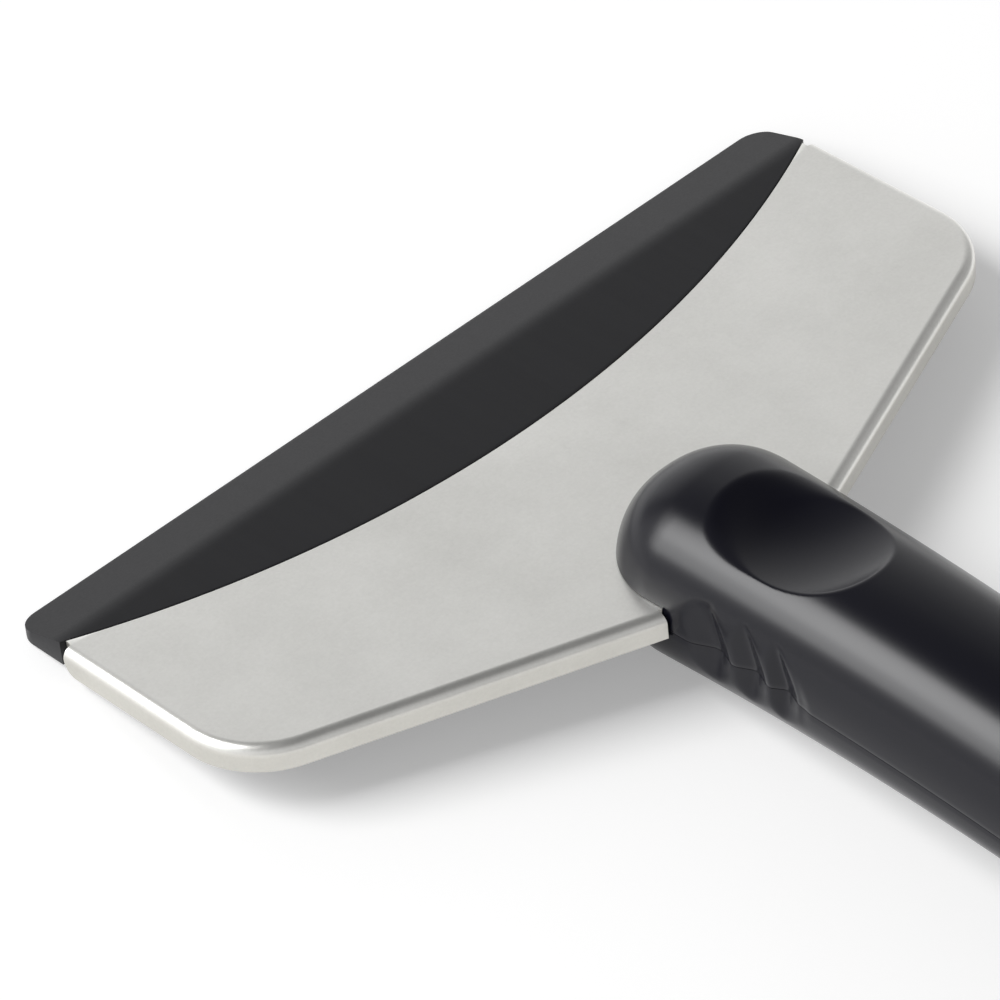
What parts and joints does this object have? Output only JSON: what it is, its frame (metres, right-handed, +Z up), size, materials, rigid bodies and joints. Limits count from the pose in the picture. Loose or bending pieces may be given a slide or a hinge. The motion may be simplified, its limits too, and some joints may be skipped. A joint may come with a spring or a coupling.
{
  "type": "windshield ice scraper",
  "caption": "Hand ice scraper: bevelled plastic blade plate under a bent stainless cover, clamped in a slim two-shell handle with thumb rest and finger grips.",
  "frame": {"origin": "on the surface that the tool lies on, under the centre of its outline", "axes": "+Y from the handle's butt towards the blade edge, +X across the blade, +Z up; the tool lies at rest on its blade edge and the underside of its butt"},
  "size_m": [0.112, 0.2012, 0.0247],
  "materials": {
    "cover_steel": "fine satin brushed",
    "blade_plastic": "smooth matt black",
    "handle_plastic": "satin black",
    "screw_steel": "zinc plated"
  },
  "bodies": {
    "root": {"steel_cover": "cover_steel", "blade_plate": "blade_plastic", "handle_top_shell": "handle_plastic", "handle_bottom_shell": "handle_plastic", "head_screw_front": "screw_steel", "head_screw_rear": "screw_steel", "handle_screw_front": "screw_steel", "handle_screw_middle": "screw_steel", "handle_screw_butt": "screw_steel"}
  },
  "joints": []
}
